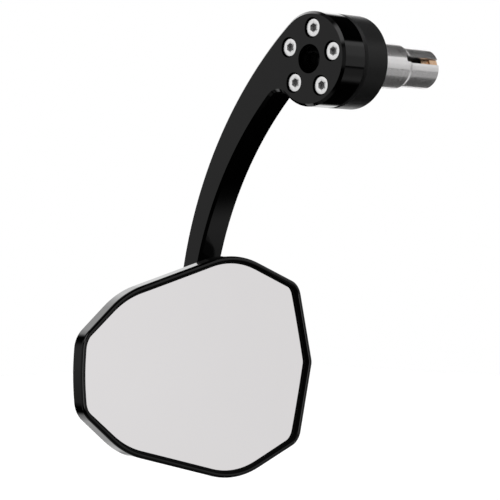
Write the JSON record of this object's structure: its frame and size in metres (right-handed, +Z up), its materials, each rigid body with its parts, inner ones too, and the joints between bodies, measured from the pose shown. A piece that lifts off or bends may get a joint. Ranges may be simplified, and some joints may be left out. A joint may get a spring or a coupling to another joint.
{
  "type": "motorcycle bar end mirror",
  "caption": "Left-hand bar end mirror: slotted expander plug for a handlebar's end, curved plate arm, and an angular convex mirror head on a ball joint below the bar.",
  "frame": {"origin": "on the handlebar's axis, where the collar's inboard face meets the bar's end", "axes": "+X inboard along the expander sleeve, +Y forward, +Z up; the glass faces -Y, towards the rider"},
  "size_m": [0.1512, 0.095, 0.1781],
  "materials": {
    "black_anodised": "black anodised, satin",
    "gloss_black": "gloss black coat",
    "stainless": "stainless steel, turned",
    "bright_steel": "bright turned steel",
    "brass": "turned brass",
    "nylon": "natural nylon",
    "pad_foam": "adhesive foam",
    "seal_rubber": "black rubber",
    "silvered_glass": "convex silvered glass"
  },
  "bodies": {
    "arm_and_plug": {"arm": "black_anodised", "collar": "black_anodised", "arm_screws": "stainless", "expander_sleeve": "bright_steel"},
    "bolt": {"expander_bolt": "stainless", "bolt_washer": "stainless", "lock_washer": "stainless"},
    "cone": {"expander_cone": "brass"},
    "stud": {"ball_stud": "bright_steel", "stud_washer": "stainless", "stud_screw": "stainless"},
    "ball_seat": {"ball_seat_cup": "nylon", "ball_seat_ring": "nylon"},
    "head": {"clamp_ring": "black_anodised", "clamp_screws": "stainless", "head_housing": "gloss_black", "glass_pad": "pad_foam", "glass_seal": "seal_rubber", "mirror_glass": "silvered_glass"}
  },
  "joints": [
    {"name": "expander_turn", "type": "hinge", "parent": "arm_and_plug", "child": "bolt", "pos_m": [0, 0, 0], "axis": [1, 0, 0], "range_deg": [-1080, 0]},
    {"name": "cone_slide", "type": "slide", "parent": "arm_and_plug", "child": "cone", "axis": [1, 0, 0], "range_m": [0, 0.003]},
    {"name": "head_spin", "type": "hinge", "parent": "arm_and_plug", "child": "stud", "pos_m": [-0.01825, 0.04872, -0.1173], "axis": [0, 1, 0], "range_deg": [-15, 15]},
    {"name": "head_tilt", "type": "hinge", "parent": "stud", "child": "ball_seat", "pos_m": [-0.01825, 0.04872, -0.1173], "axis": [1, 0, 0], "range_deg": [-15, 15]},
    {"name": "head_pan", "type": "hinge", "parent": "ball_seat", "child": "head", "pos_m": [-0.01825, 0.04872, -0.1173], "axis": [0, 0, 1], "range_deg": [-15, 15]}
  ],
  "couplings": [
    {"joint": "cone_slide", "follows": "expander_turn", "m_per_rad": -0.00015915}
  ]
}
